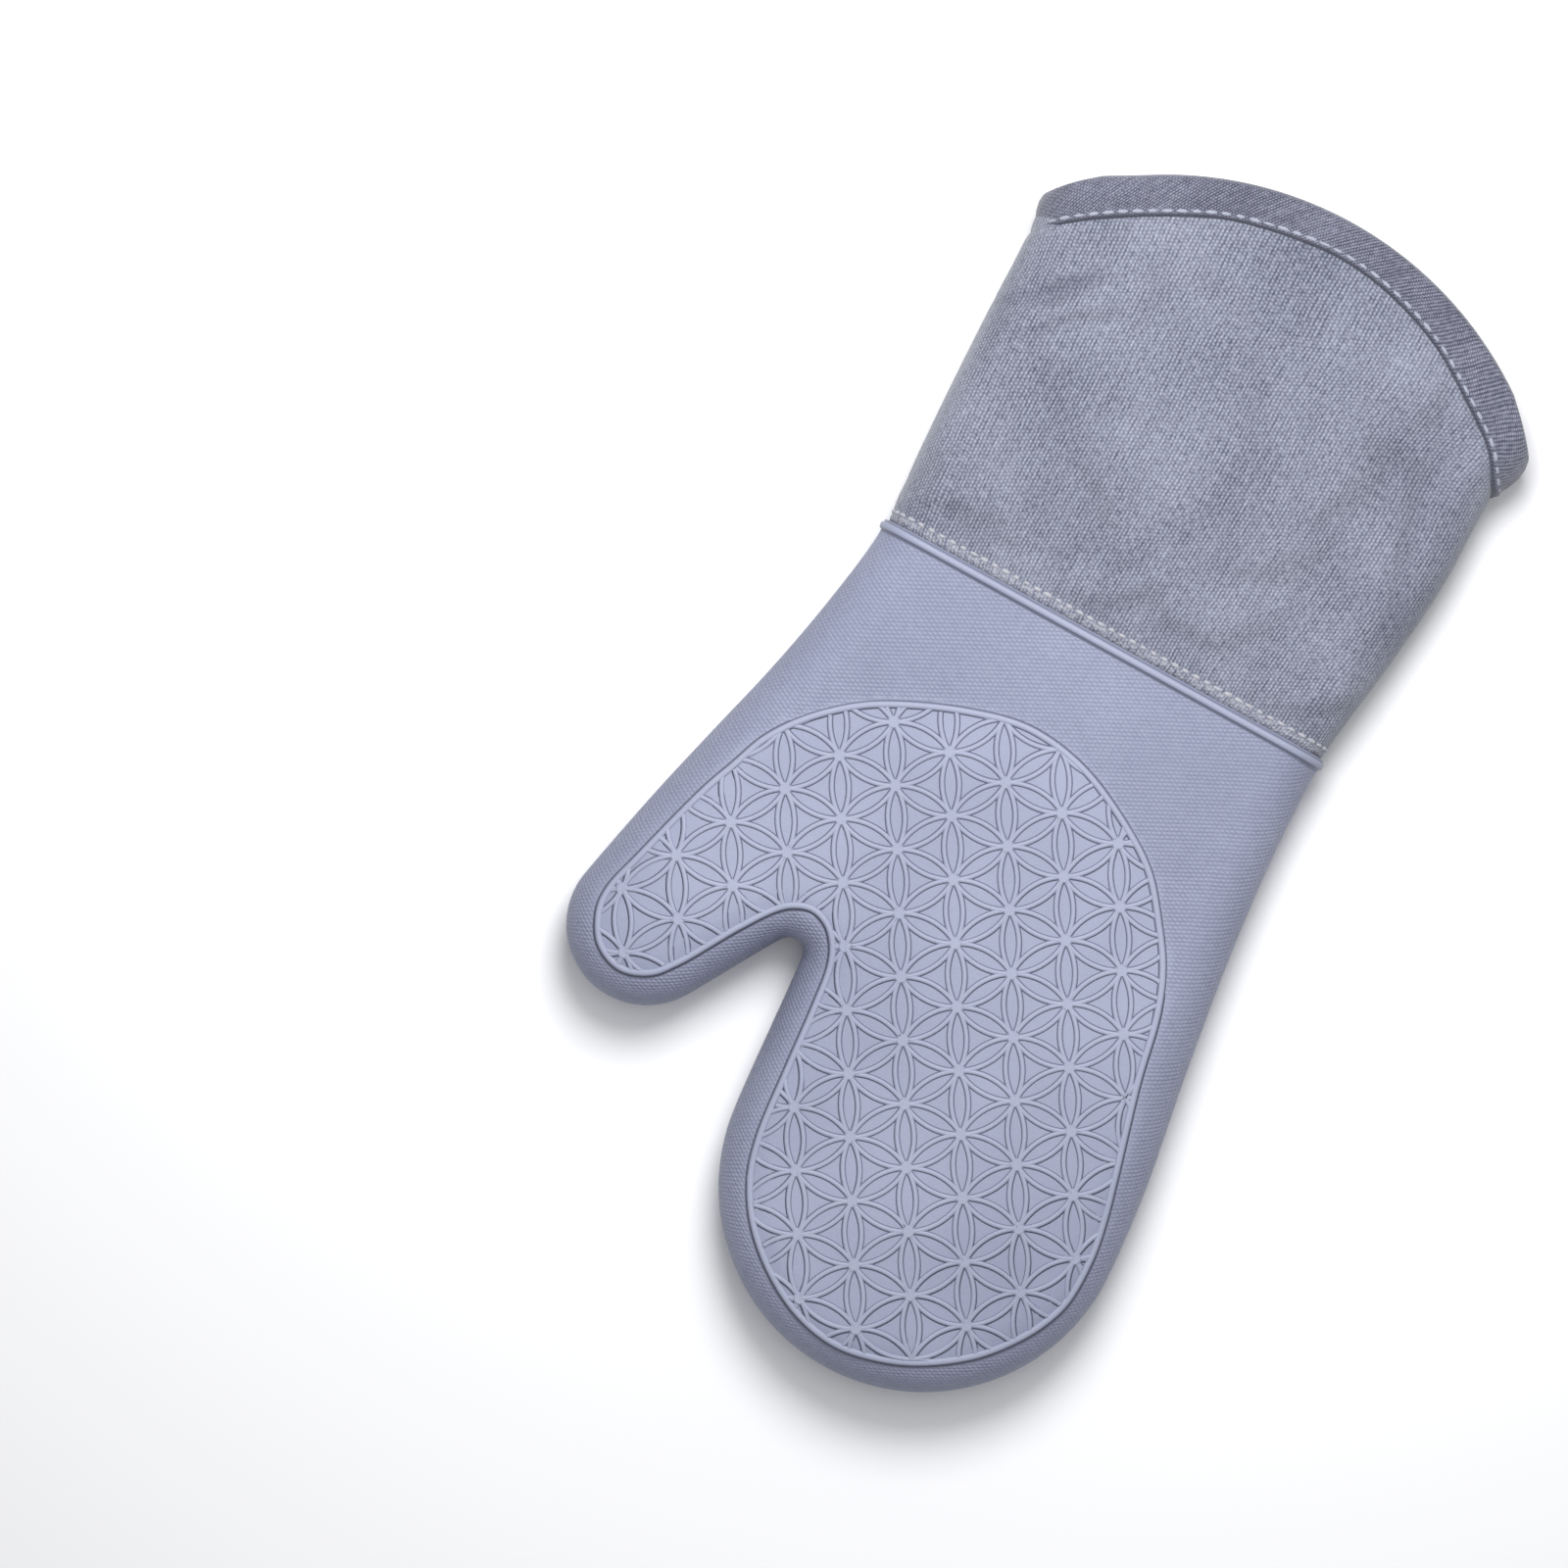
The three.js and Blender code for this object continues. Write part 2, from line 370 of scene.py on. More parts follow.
def weave_material(name, dark, light, column, row, slant, fuzz=0.5, hem=None, depth=0.16):
    """Mottled cloth: bumpy yarns run along the piece, a column apart, with a float every row."""
    material, tree, shader = new_material(name, Roughness=0.88, Specular_IOR_Level=0.2,
                                          Sheen_Weight=0.25, Sheen_Roughness=0.5)
    surface = attribute(tree, "surface", "Vector")
    swirl = {"Vector": surface, "Scale": 60.0, "Detail": 2.0}
    drift = node(tree, "ShaderNodeTexNoise", swirl).outputs["Color"]
    drift = vector_calc(tree, "SUBTRACT", drift, (0.5, 0.5, 0.5))
    drift = vector_calc(tree, "MULTIPLY", drift, (0.0012,) * 3)
    wavy = vector_calc(tree, "ADD", surface, drift)
    split = node(tree, "ShaderNodeSeparateXYZ", {0: wavy})
    columns = calc(tree, "DIVIDE", split.outputs[0], column)
    rows = calc(tree, "DIVIDE", split.outputs[1], row)
    ridge = calc(tree, "COSINE", calc(tree, "MULTIPLY", columns, 2 * math.pi))
    number = calc(tree, "FLOOR", calc(tree, "ADD", columns, 0.5))
    scatter = node(tree, "ShaderNodeTexWhiteNoise", {"W": number}, noise_dimensions="1D").outputs["Value"]
    shifted = calc(tree, "MULTIPLY_ADD", number, slant, calc(tree, "MULTIPLY_ADD", scatter, 0.3, rows))
    float_wave = calc(tree, "COSINE", calc(tree, "MULTIPLY", shifted, 2 * math.pi))
    ridge_up = calc(tree, "MULTIPLY_ADD", ridge, 0.4, 0.6)
    yarn = calc(tree, "MULTIPLY", ridge_up, calc(tree, "MULTIPLY_ADD", float_wave, 0.32, 0.68))
    stretched = vector_calc(tree, "MULTIPLY", surface, (1.0, 0.32, 1.0))
    flecks = noise(tree, stretched, 1500, 3, 0.6)
    yarn_tone = noise(tree, vector_calc(tree, "MULTIPLY", surface, (1.0, 0.05, 1.0)), 800, 2)
    patches = noise(tree, surface, 28, 3)
    tone = calc(tree, "MULTIPLY_ADD", yarn, 0.45, calc(tree, "MULTIPLY", flecks, fuzz))
    tone = calc(tree, "MULTIPLY_ADD", patches, 0.35, tone)
    tone = calc(tree, "MULTIPLY_ADD", yarn_tone, 0.25, tone)
    tone = in_range(tree, tone, 0.62, 1.22)
    colour = mix_colour(tree, tone, dark, light)
    if hem is not None:
        edge = in_range(tree, split.outputs[1], 0.0022, 0.0034, 0.5, 0.0)
        lumps = in_range(tree, noise(tree, surface, 750, 2), 0.42, 0.62)
        colour = mix_colour(tree, calc(tree, "MULTIPLY", edge, lumps), colour, hem)
    # Painted shade in the cloth's marked creases and under the tape's edge.
    colour = with_painted_shade(tree, colour, CLOTH_PAINTED_SHADE)
    coat(tree, shader, colour, bump(tree, yarn, depth, 0.9, bump(tree, flecks, depth * 0.6)))
    return material


def thread_material(name, dark, light):
    material, tree, shader = new_material(name, Roughness=0.7, Specular_IOR_Level=0.3, Sheen_Weight=0.2)
    place = node(tree, "ShaderNodeTexCoord").outputs["Object"]
    tone = noise(tree, place, 2500, 2)
    colour = mix_colour(tree, tone, dark, light)
    coat(tree, shader, colour, bump(tree, tone, 0.12))
    return material


def batting_material():
    material, tree, shader = new_material("batting", Roughness=1.0, Specular_IOR_Level=0.1, Sheen_Weight=0.3)
    place = node(tree, "ShaderNodeTexCoord").outputs["Object"]
    fibres = noise(tree, place, 500, 6, 0.7)
    colour = mix_colour(tree, fibres, srgb(214, 212, 205), srgb(244, 243, 239))
    coat(tree, shader, colour, bump(tree, fibres, 0.6))
    return material


def floor_material():
    material, _, shader = new_material("floor", Roughness=0.9, Specular_IOR_Level=0.1)
    shader.inputs["Base Color"].default_value = srgb(236, 236, 238)
    return material


SILICONE_BASE = silicone_material("silicone", srgb(129, 134, 156), srgb(143, 148, 170), True)
# The raised ribs, hubs and beads get a lighter copy of the rubber: painted light where they stand up into
# the light.
SILICONE_RAISED_PAINTED_LIGHTER = silicone_material("silicone raised parts painted lighter", srgb(138, 143, 164), srgb(149, 154, 175), False)
CUFF_CLOTH = weave_material("cuff cloth", srgb(68, 72, 88), srgb(152, 156, 171), 0.00118, 0.0012, 0.5,
                            fuzz=0.8, hem=srgb(170, 171, 178))
BINDING_CLOTH = weave_material("binding cloth", srgb(64, 66, 80), srgb(150, 151, 168), 0.0009, 0.0009, 0.5,
                               fuzz=0.6, depth=0.12)
LINING_CLOTH = weave_material("lining cloth", srgb(128, 130, 142), srgb(196, 198, 206), 0.0008, 0.0008, 0.5,
                              fuzz=0.6, depth=0.08)
CUFF_THREAD = thread_material("cuff thread", srgb(126, 128, 138), srgb(184, 184, 190))
BINDING_THREAD = thread_material("binding thread", srgb(116, 120, 136), srgb(170, 174, 187))
BATTING_FILL = batting_material()


# ---------------------------------------------------------------- camera, lights and floor

def make_camera():
    data = bpy.data.cameras.new("camera")
    data.lens = 194.2
    data.clip_end = 20
    camera = bpy.data.objects.new("camera", data)
    camera.location = (-0.0573, -0.0398, 2.532)
    camera.rotation_euler = (0, 0, math.radians(28.4))
    bpy.context.scene.collection.objects.link(camera)
    bpy.context.scene.camera = camera


def area_light(name, place, size, power, target=(0, -0.02, 0.02)):
    data = bpy.data.lights.new(name, "AREA")
    data.shape = "DISK"
    data.size = size
    data.energy = power
    light = bpy.data.objects.new(name, data)
    light.location = place
    light.rotation_euler = (Vector(target) - Vector(place)).to_track_quat("-Z", "Y").to_euler()
    bpy.context.scene.collection.objects.link(light)


BACKDROP = 0.48


def make_studio():
    scene = bpy.context.scene
    scene.view_settings.view_transform = "Standard"
    world = bpy.data.worlds.new("studio")
    world.use_nodes = True
    tree = world.node_tree
    around = node(tree, "ShaderNodeTexCoord").outputs["Generated"]
    upward = node(tree, "ShaderNodeSeparateXYZ", {0: around}).outputs[2]
    glow = in_range(tree, upward, 0.0, 0.9, 0.3, 0.5)
    seen = node(tree, "ShaderNodeLightPath").outputs["Is Camera Ray"]
    glow = shade(tree, "Mix", {0: seen, 2: glow, 3: BACKDROP}, data_type="FLOAT")
    sky = tree.nodes["Background"]
    sky.inputs[0].default_value = (0.98, 0.99, 1.0, 1)
    tree.links.new(glow, sky.inputs[1])
    scene.world = world
    area_light("key", (-0.11, 0.27, 0.6), 0.34, 4.8, target=(-0.02, 0.02, 0.02))
    area_light("overhead", (0.0, 0.1, 1.4), 0.9, 4.2)
    reach = 1500
    floor = new_mesh("floor", [(-reach, -reach, -0.5), (reach, -reach, -0.5), (reach, reach, -0.5),
                               (-reach, reach, -0.5)], [(0, 1, 2, 3)], smooth=False)
    new_object("floor", floor, floor_material())


# ---------------------------------------------------------------- the mitt's surface

def lift(x, y):
    """How far the palm swells above its level."""
    dome = 1.5 * np.exp(-(((x - 25) / 78) ** 2) - ((y + 70) / 105) ** 2)
    thumb = 0.8 * np.exp(-(((x + 70) / 24) ** 2) - ((y + 80) / 40) ** 2)
    waves = 0.45 * np.sin(x / 31 + 0.8) * np.sin(y / 37 - 0.5) + 0.25 * np.sin(x / 17 - y / 26)
    return (dome + thumb + waves) * smoothstep(-y, -38, 5)


def tilt(x):
    return TILT * x


def mouth_y(x, inset=0.0):
    centre_x, centre_y, radius = MOUTH
    x = np.asarray(x, float)
    reach = np.clip((radius - inset) ** 2 - (x - centre_x) ** 2, 1, None)
    return centre_y + np.sqrt(reach) + 4.0 * smoothstep(-x, 48, 78)


def round_ends():
    return arc(FINGERTIP, 0, -174.3, 22) + arc(CROTCH, 4.5, 147.7, 7) + arc(THUMB_TIP, -32, -194, 18)


def glove_outline(step):
    return smooth_line(RIGHT_GLOVE + round_ends() + LEFT_GLOVE, step)


def mitt_outline(step):
    """The silhouette with the cuff, as far as a level line at y = 150."""
    right = [(89.2, 150)] + [(x - 1.1, y) for x, y in RIGHT_CUFF[6:2:-1]] + RIGHT_GLOVE[1:]
    left = LEFT_GLOVE[:-1] + [(x + 1.1, y) for x, y in LEFT_CUFF[3:7]] + [(-72.8, 150)]
    return smooth_line(right + round_ends() + left, step)


def steer(normals, index, direction, reach):
    """Turns the normals near one place of the outline towards a direction."""
    for i in range(max(0, index - reach), min(len(normals), index + reach + 1)):
        share = 1 - abs(i - index) / (reach + 1)
        turned = normals[i] * (1 - share) + np.array(direction) * share
        normals[i] = turned / np.linalg.norm(turned)


def make_plan(outline, grid, reach):
    """The mitt seen from above: outline, its normals, and a triangulated middle inside the rounded edge."""
    normals = outward_normals(outline)
    steer(normals, 0, (1, 0), reach)
    steer(normals, len(outline) - 1, (-1, 0), reach)
    seam = []
    for low_x, high_x, direction in ((60, 110, (1, 0)), (-30, -20, (-1, 0))):
        near = (outline[:, 0] > low_x) & (outline[:, 0] < high_x)
        index = int(np.argmin(np.where(near, abs(outline[:, 1] - SEAM_Y), 1e9)))
        outline[index, 1] = SEAM_Y
        steer(normals, index, direction, reach)
        seam.append(index)
    ring = outline - normals * EDGE_ROUND
    count = len(ring)
    top, line = (np.linspace(ring[a], ring[b], int((ring[b, 0] - ring[a, 0]) / grid) + 1)[1:-1]
                 for a, b in ((-1, 0), (seam[1], seam[0])))
    xs = np.arange(-100, 100, grid)
    rows = [np.column_stack([xs + (k % 2) * grid / 2, np.full(len(xs), y)])
            for k, y in enumerate(np.arange(-200, 200, grid * 0.866))]
    points = np.vstack(rows)
    border = np.vstack([ring, top])
    points = points[inside(points, border)]
    points = points[distance_to(points, np.vstack([border, line])) > grid * 0.55]
    inner = np.vstack([top, line, points])
    everything = [Vector(p) for p in np.vstack([ring, inner]).tolist()]
    start = count + len(top)
    chain = [seam[1], *range(start, start + len(line)), seam[0]]
    found = geometry.delaunay_2d_cdt(everything, list(zip(chain, chain[1:])), [list(range(start))], 1, 1e-5)
    origin = [ids[0] for ids in found[3]]
    triangles = np.array([[origin[v] for v in face] for face in found[2]])
    a, b, c = (np.vstack([ring, inner])[triangles[:, k]] for k in range(3))
    turn = (b - a)[:, 0] * (c - a)[:, 1] - (b - a)[:, 1] * (c - a)[:, 0]
    triangles[turn < 0] = triangles[turn < 0][:, ::-1]
    last = len(EDGE_ANGLES) - 1
    faces = [(r * count + i, (r + 1) * count + i, (r + 1) * count + i + 1, r * count + i + 1)
             for r in range(last) for i in range(count - 1)]
    faces += [tuple(last * count + face) for face in triangles]
    return {"outline": outline, "normals": normals, "inner": inner, "faces": faces, "count": count}


def skin(plan, depth, height, warp, swell=None, puff=None):
    """One half surface of the mitt: edge rings, then the middle. Heights are above the middle plane."""
    rounding = EDGE_ROUND - depth
    parts = []
    for angle in EDGE_ANGLES:
        inset = depth + rounding * (1 - max(math.cos(angle), 0) ** (2 / EDGE_SHAPE))
        level = height * math.sin(angle) ** (2 / EDGE_SHAPE)
        ring = plan["outline"] - plan["normals"] * inset
        parts.append(np.column_stack([ring, np.full(len(ring), level)]))
    parts.append(np.column_stack([plan["inner"], np.full(len(plan["inner"]), height)]))
    points = np.vstack(parts)
    if swell is not None:
        points[:, 2] += swell(points[:, 0], points[:, 1]) * (points[:, 2] / height) ** 2
    if puff is not None:
        points[:, 2] += puff(points[:, 0], points[:, 1]) * (points[:, 2] / height) ** 4
    points[:, 1] = warp(points[:, 0], points[:, 1])
    return points


def surface_place(plan):
    """Where each vertex of a half surface lies on the unrolled surface, in metres."""
    ring = plan["outline"] - plan["normals"] * EDGE_ROUND
    parts = [ring + plan["normals"] * EDGE_ROUND * (math.pi / 2 - a) for a in EDGE_ANGLES]
    flat = np.vstack(parts + [plan["inner"]])
    return np.column_stack([flat, np.zeros(len(flat))]) * MM


def flip(points):
    return points * (1, 1, -1)


def reversed_faces(faces, offset=0):
    return [tuple(v + offset for v in reversed(face)) for face in faces]


def wall_faces(faces, offset):
    """Quads that join a surface's open edges to those of the same surface further in."""
    directed = {(a, b) for face in faces for a, b in zip(face, face[1:] + face[:1])}
    return [(b, a, a + offset, b + offset) for a, b in directed if (b, a) not in directed]


def shell_mesh(name, outer, inner, faces, values):
    """A closed shell between two surfaces of the same layout; sharp where it was cut."""
    offset = len(outer)
    faces = [tuple(map(int, face)) for face in faces]
    walls = sorted(wall_faces(faces, offset))
    everything = faces + reversed_faces(faces, offset) + walls
    used = sorted({v for face in everything for v in face})
    place = {v: i for i, v in enumerate(used)}
    points = np.vstack([outer, inner])[used]
    points[:, 2] += MIDDLE
    mesh = new_mesh(name, points, [[place[v] for v in face] for face in everything])
    for key, value in values.items():
        set_values(mesh, key, np.concatenate([value, value])[used])
    sharp = {frozenset((place[a], place[b])) for wall in walls
             for a, b in ((wall[0], wall[1]), (wall[2], wall[3]))}
    flags = [frozenset(edge.vertices) in sharp for edge in mesh.edges]
    mesh.attributes.new("sharp_edge", "BOOLEAN", "EDGE").data.foreach_set("value", flags)
    return mesh


def split_faces(points, faces):
    """The faces of the hand with its thumb, and those of the finger pocket."""
    centres = np.array([points[list(face)].mean(axis=0) for face in faces])
    pocket = (centres[:, 1] < SEAM_Y) & (centres[:, 0] > CROTCH[0])
    return [[f for f, p in zip(faces, pocket) if not p], [f for f, p in zip(faces, pocket) if p]]


# ---------------------------------------------------------------- bands round the mitt

def side_x(y, points):
    line = smooth_line(points, 2)
    order = np.argsort(line[:, 1])
    return np.interp(y, line[order, 1], line[order, 0])


def make_columns(across, edge):
    """Columns round the mitt: (side, angle or share across, up or down), clockwise from the left seam."""
    angles = np.linspace(0, math.pi / 2, edge + 1)[:-1]
    shares = np.linspace(0, 1, across)
    top = [(-1, a, 1) for a in angles] + [(0, s, 1) for s in shares] + [(1, a, 1) for a in angles[::-1]]
    under = [(side, value, -1) for side, value, _ in top]
    return top + under[::-1][1:-1]


def band_points(columns, y, depth):
    """Points of the columns at these places along the mitt and depths below its surface."""
    left, right = side_x(y, LEFT_CUFF), side_x(y, RIGHT_CUFF)
    side, value, up = np.array(columns, float).T
    rounding = EDGE_ROUND - depth
    power = 2 / EDGE_SHAPE
    inset = depth + rounding * (1 - np.clip(np.cos(value), 0, 1) ** power)
    x = np.where(side == 0, left + EDGE_ROUND + value * (right - left - 2 * EDGE_ROUND),
                 np.where(side < 0, left + inset, right - inset))
    rise = np.where(side == 0, 1.0, np.clip(np.sin(value), 0, 1) ** power)
    return np.column_stack([x, y, MIDDLE + up * (THICKNESS / 2 - depth) * rise])


def column_x(columns, place):
    """Where the columns cross a line given as y = place(x)."""
    x = band_points(columns, np.full(len(columns), 100.0), np.zeros(len(columns)))[:, 0]
    for _ in range(4):
        x = band_points(columns, place(x), np.zeros(len(columns)))[:, 0]
    return x


def band_mesh(name, columns, rows, closed=True):
    """A ring of columns, each with the same closed loop of points. rows holds (y, depth) for each point."""
    grid = np.array([band_points(columns, y, depth) for y, depth in rows])
    height, width = grid.shape[:2]
    faces = []
    for r in range(height):
        for c in range(width if closed else width - 1):
            r2, c2 = (r + 1) % height, (c + 1) % width
            faces.append((r * width + c, r * width + c2, r2 * width + c2, r2 * width + c))
    if not closed:
        for r in range(height // 2 - 1):
            loop = [r, r + 1, height - 2 - r, height - 1 - r]
            faces.append([k * width for k in loop])
            faces.append([k * width + width - 1 for k in reversed(loop)])
    return new_mesh(name, grid.reshape(-1, 3), faces), grid


def outward_check(mesh):
    """Turns a closed mesh right side out if its volume comes out negative."""
    bm = bmesh.new()
    bm.from_mesh(mesh)
    if bm.calc_volume(signed=True) < 0:
        bmesh.ops.reverse_faces(bm, faces=bm.faces[:])
    bm.to_mesh(mesh)
    bm.free()


# ---------------------------------------------------------------- geometry node trees

def start_tree(name, sockets):
    tree = bpy.data.node_groups.new(name, "GeometryNodeTree")
    tree.interface.new_socket("Geometry", in_out="INPUT", socket_type="NodeSocketGeometry")
    for label, kind in sockets:
        tree.interface.new_socket(label, in_out="INPUT", socket_type="NodeSocket" + kind)
    tree.interface.new_socket("Geometry", in_out="OUTPUT", socket_type="NodeSocketGeometry")
    return tree, node(tree, "NodeGroupInput").outputs


def grow(start, tree, values):
    """Runs the tree on an object that is only its starting line, and returns the mesh that it makes."""
    modifier = start.modifiers.new(tree.name, "NODES")
    modifier.node_group = tree
    for item in tree.interface.items_tree:
        if item.in_out == "INPUT" and item.name in values:
            modifier[item.identifier] = values[item.name]
    ready = start.evaluated_get(bpy.context.evaluated_depsgraph_get())
    mesh = bpy.data.meshes.new_from_object(ready)
    bpy.data.objects.remove(start)
    mesh.materials.clear()
    mesh.materials.append(values["Material"])
    mesh.polygons.foreach_set("material_index", [0] * len(mesh.polygons))
    return mesh


def swept_bead(tree, curve, section, width, height, up):
    """A bead with the given section, seated just below the surface."""
    scale = shade(tree, "CombineXYZ", {0: calc(tree, "MULTIPLY", width, 0.5), 1: height, 2: 1.0})
    turn = shade(tree, "CombineXYZ", {2: calc(tree, "MULTIPLY_ADD", up, math.pi / 2, math.pi / 2)})
    profile = geo(tree, "Transform", {"Geometry": section, "Scale": scale, "Rotation": turn})
    upright = geo(tree, "SetCurveNormal", {"Curve": curve}, mode="Z_UP")
    inputs = {"Curve": upright, "Profile Curve": profile, "Fill Caps": True}
    swept = geo(tree, "CurveToMesh", inputs)
    return geo(tree, "SetShadeSmooth", {"Geometry": swept, "Shade Smooth": True})


def grip_tree():
    """The rim along the starting line, and inside it overlapping rings and hubs on a triangular lattice."""
    tree, given = start_tree("grip pattern", [
        ("Surface", "Object"), ("Region", "Object"), ("Hub Region", "Object"), ("Section", "Object"),
        ("Spacing", "Float"), ("Row", "Float"), ("Start", "Vector"), ("Rib Width", "Float"),
        ("Rib Height", "Float"), ("Hub Radius", "Float"),
        ("Rim Width", "Float"), ("Rim Height", "Float"), ("Up", "Float"), ("Material", "Material")])
    surface, region, hub_region, section = (
        node(tree, "GeometryNodeObjectInfo", {"Object": given[label]}).outputs["Geometry"]
        for label in ("Surface", "Region", "Hub Region", "Section"))
    section = geo(tree, "MeshToCurve", {"Mesh": section})
    place = geo(tree, "InputPosition")
    split = node(tree, "ShaderNodeSeparateXYZ", {0: place}).outputs
    height = calc(tree, "MULTIPLY", given["Up"], 0.1)
    above = shade(tree, "CombineXYZ", {0: split[0], 1: split[1], 2: height})
    ahead = shade(tree, "CombineXYZ", {2: calc(tree, "MULTIPLY", given["Up"], -1.0)})
    ray = {"Source Position": above, "Ray Direction": ahead, "Ray Length": 1.0}
    on_surface = node(tree, "GeometryNodeRaycast", {"Target Geometry": surface, **ray}).outputs

    def laid(shape):
        return geo(tree, "SetPosition", {"Geometry": shape, "Position": on_surface["Hit Position"]})

    def trimmed(shape, area):
        hit = node(tree, "GeometryNodeRaycast", {"Target Geometry": area, **ray}).outputs["Is Hit"]
        outside = node(tree, "FunctionNodeBooleanMath", {0: hit}, operation="NOT").outputs[0]
        return geo(tree, "DeleteGeometry", {"Geometry": shape, "Selection": outside})

    steps = 14
    grid = geo(tree, "MeshGrid", {
        "Size X": calc(tree, "MULTIPLY", given["Spacing"], steps), "Vertices X": steps + 1,
        "Size Y": calc(tree, "MULTIPLY", given["Row"], steps), "Vertices Y": steps + 1})
    row = calc(tree, "ROUND", calc(tree, "DIVIDE", split[1], given["Row"]))
    odd = calc(tree, "FLOORED_MODULO", row, 2.0)
    shift = calc(tree, "MULTIPLY", calc(tree, "MULTIPLY", odd, given["Spacing"]), 0.5)
    shift = shade(tree, "CombineXYZ", {0: shift})
    lattice = geo(tree, "SetPosition", {
        "Geometry": grid, "Offset": vector_calc(tree, "ADD", shift, given["Start"])})
    ring = geo(tree, "MeshCircle", {"Vertices": 66, "Radius": given["Spacing"]})
    rings = geo(tree, "InstanceOnPoints", {"Points": lattice, "Instance": ring})
    rings = geo(tree, "RealizeInstances", {"Geometry": rings})
    ribs = geo(tree, "MeshToCurve", {"Mesh": laid(trimmed(rings, region))})
    ribs = swept_bead(tree, ribs, section, given["Rib Width"], given["Rib Height"], given["Up"])
    hub = geo(tree, "MeshCone", {
        "Vertices": 20, "Side Segments": 1, "Radius Bottom": given["Hub Radius"],
        "Radius Top": calc(tree, "MULTIPLY", given["Hub Radius"], 0.75),
        "Depth": calc(tree, "MULTIPLY", given["Rib Height"], 1.03)})
    turn = shade(tree, "CombineXYZ", {0: calc(tree, "MULTIPLY_ADD", given["Up"], -math.pi / 2, math.pi / 2)})
    hub = geo(tree, "Transform", {"Geometry": hub, "Rotation": turn})
    hubs = geo(tree, "InstanceOnPoints", {
        "Points": laid(trimmed(lattice, hub_region)), "Instance": hub})
    hubs = geo(tree, "RealizeInstances", {"Geometry": hubs})
    rim = geo(tree, "MeshToCurve", {"Mesh": laid(given["Geometry"])})
    rim = swept_bead(tree, rim, section, given["Rim Width"], given["Rim Height"], given["Up"])
    join = node(tree, "GeometryNodeJoinGeometry")
    for part in (ribs, hubs, rim):
        tree.links.new(part, join.inputs[0])
    painted = geo(tree, "SetMaterial", {"Geometry": join.outputs[0], "Material": given["Material"]})
    node(tree, "NodeGroupOutput", {0: painted})
    return tree


def stitch_tree():
    """Stitches laid end to end along the starting line, a pitch apart, with a slight scatter."""
    tree, given = start_tree("stitches", [
        ("Pitch", "Float"), ("Length", "Float"), ("Width", "Float"), ("Seed", "Int"),
        ("Material", "Material")])
    line = geo(tree, "MeshToCurve", {"Mesh": given["Geometry"]})
    spacing = {"Curve": line, "Length": given["Pitch"]}
    dots = node(tree, "GeometryNodeCurveToPoints", spacing, mode="LENGTH").outputs
    outward = geo(tree, "InputNamedAttribute", {"Name": "outward"}, data_type="FLOAT_VECTOR")
    first = node(tree, "FunctionNodeAlignRotationToVector", {"Vector": dots["Tangent"]}, axis="X")
    aligned = node(tree, "FunctionNodeAlignRotationToVector", {
        "Rotation": first.outputs[0], "Vector": outward}, axis="Z", pivot_axis="X").outputs[0]
    ball = geo(tree, "MeshUVSphere", {"Segments": 10, "Rings": 8, "Radius": 0.5})
    size = shade(tree, "CombineXYZ", {0: given["Length"], 1: given["Width"],
                                      2: calc(tree, "MULTIPLY", given["Width"], 0.8)})
    limits = {0: (0.72, 0.82, 0.85), 1: (1.16, 1.12, 1.1), "Seed": given["Seed"]}
    scatter = node(tree, "FunctionNodeRandomValue", limits, data_type="FLOAT_VECTOR").outputs[0]
    stitches = geo(tree, "InstanceOnPoints", {
        "Points": dots["Points"], "Instance": ball, "Rotation": aligned,
        "Scale": vector_calc(tree, "MULTIPLY", size, scatter)})
    real = geo(tree, "RealizeInstances", {"Geometry": stitches})
    painted = geo(tree, "SetMaterial", {"Geometry": real, "Material": given["Material"]})
    node(tree, "NodeGroupOutput", {0: painted})
    return tree


# ---------------------------------------------------------------- the glove

def joined(name, meshes):
    """One object of several meshes; each keeps its own material."""
    bm = bmesh.new()
    materials = []
    for mesh in meshes:
        first = len(bm.faces)
        bm.from_mesh(mesh)
        bm.faces.ensure_lookup_table()
        material = mesh.materials[0]
        if material not in materials:
            materials.append(material)
        for face in bm.faces[first:]:
            face.material_index = materials.index(material)
    made = bpy.data.meshes.new(name)
    bm.to_mesh(made)
    bm.free()
    return new_object(name, made, *materials)


def seam_half(mesh, pocket):
    """The part of a mesh that belongs to the finger pocket, or the rest, closed where it is cut."""
    bm = bmesh.new()
    bm.from_mesh(mesh)
    thumb_side = [f for f in bm.faces if f.calc_center_median().x < CROTCH[0] * MM]
    if pocket:
        bmesh.ops.delete(bm, geom=thumb_side, context="FACES")
        faces = bm.faces[:]
    else:
        faces = list(set(bm.faces) - set(thumb_side))
        faces.sort(key=lambda face: face.index)
    edges = sorted({e for f in faces for e in f.edges}, key=lambda e: e.index)
    points = sorted({v for f in faces for v in f.verts}, key=lambda v: v.index)
    bmesh.ops.bisect_plane(bm, geom=points + edges + faces, dist=1e-7, plane_co=(0, SEAM_Y * MM, 0),
                           plane_no=(0, 1, 0), clear_outer=pocket, clear_inner=not pocket)
    for cap in bmesh.ops.holes_fill(bm, edges=[e for e in bm.edges if e.is_boundary], sides=0)["faces"]:
        cap.smooth = False
        for edge in cap.edges:
            edge.smooth = False
    made = bpy.data.meshes.new(mesh.name)
    bm.to_mesh(made)
    bm.free()
    made.materials.append(mesh.materials[0])
    return made


def edge_loop_object(name, points, closed=True):
    """A wire of points, as the starting line of a node tree."""
    count = len(points)
    mesh = bpy.data.meshes.new(name)
    edges = [(i, (i + 1) % count) for i in range(count if closed else count - 1)]
    mesh.from_pydata((np.asarray(points) * MM).tolist(), edges, [])
    return new_object(name, mesh)


